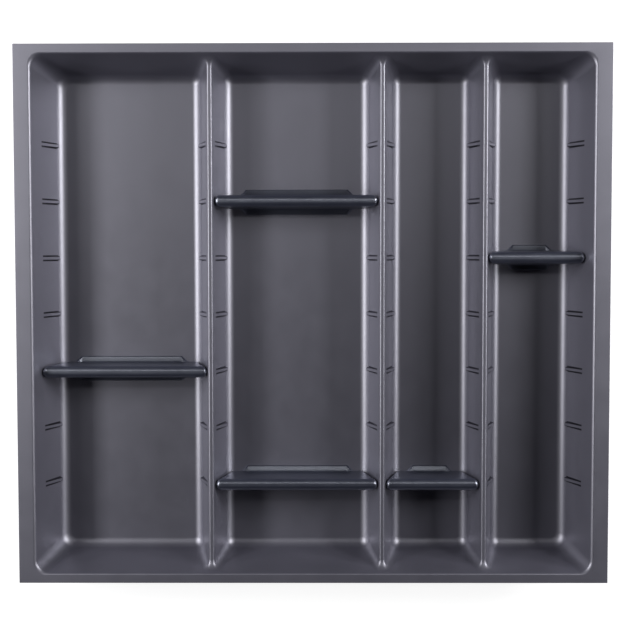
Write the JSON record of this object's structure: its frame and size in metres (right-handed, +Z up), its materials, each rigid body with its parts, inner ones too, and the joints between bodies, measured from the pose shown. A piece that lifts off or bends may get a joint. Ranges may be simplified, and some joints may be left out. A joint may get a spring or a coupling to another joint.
{
  "type": "cutlery tray",
  "caption": "Flat-rimmed drawer tray for cutlery, with long compartments between hollow ridges, upright wall ribs and loose cross dividers that lift out.",
  "frame": {"origin": "under the middle of the tray, on the surface it rests on", "axes": "+X to the right along the drawer's width, +Y to the back of the drawer, +Z up"},
  "size_m": [0.52, 0.473, 0.05],
  "materials": {
    "tray_plastic": "fine-grained satin",
    "divider_plastic": "semi-gloss"
  },
  "bodies": {
    "tray_body": {"tray": "tray_plastic"},
    "wide_divider_left_body": {"wide_divider_left": "divider_plastic"},
    "wide_divider_back_body": {"wide_divider_back": "divider_plastic"},
    "wide_divider_front_body": {"wide_divider_front": "divider_plastic"},
    "narrow_divider_front_body": {"narrow_divider_front": "divider_plastic"},
    "narrow_divider_back_body": {"narrow_divider_back": "divider_plastic"}
  },
  "joints": [
    {"name": "wide_divider_left_lift", "type": "slide", "parent": "tray_body", "child": "wide_divider_left_body", "axis": [0, 0, 1], "range_m": [0, 0.055]},
    {"name": "wide_divider_back_lift", "type": "slide", "parent": "tray_body", "child": "wide_divider_back_body", "axis": [0, 0, 1], "range_m": [0, 0.055]},
    {"name": "wide_divider_front_lift", "type": "slide", "parent": "tray_body", "child": "wide_divider_front_body", "axis": [0, 0, 1], "range_m": [0, 0.055]},
    {"name": "narrow_divider_front_lift", "type": "slide", "parent": "tray_body", "child": "narrow_divider_front_body", "axis": [0, 0, 1], "range_m": [0, 0.055]},
    {"name": "narrow_divider_back_lift", "type": "slide", "parent": "tray_body", "child": "narrow_divider_back_body", "axis": [0, 0, 1], "range_m": [0, 0.055]}
  ]
}
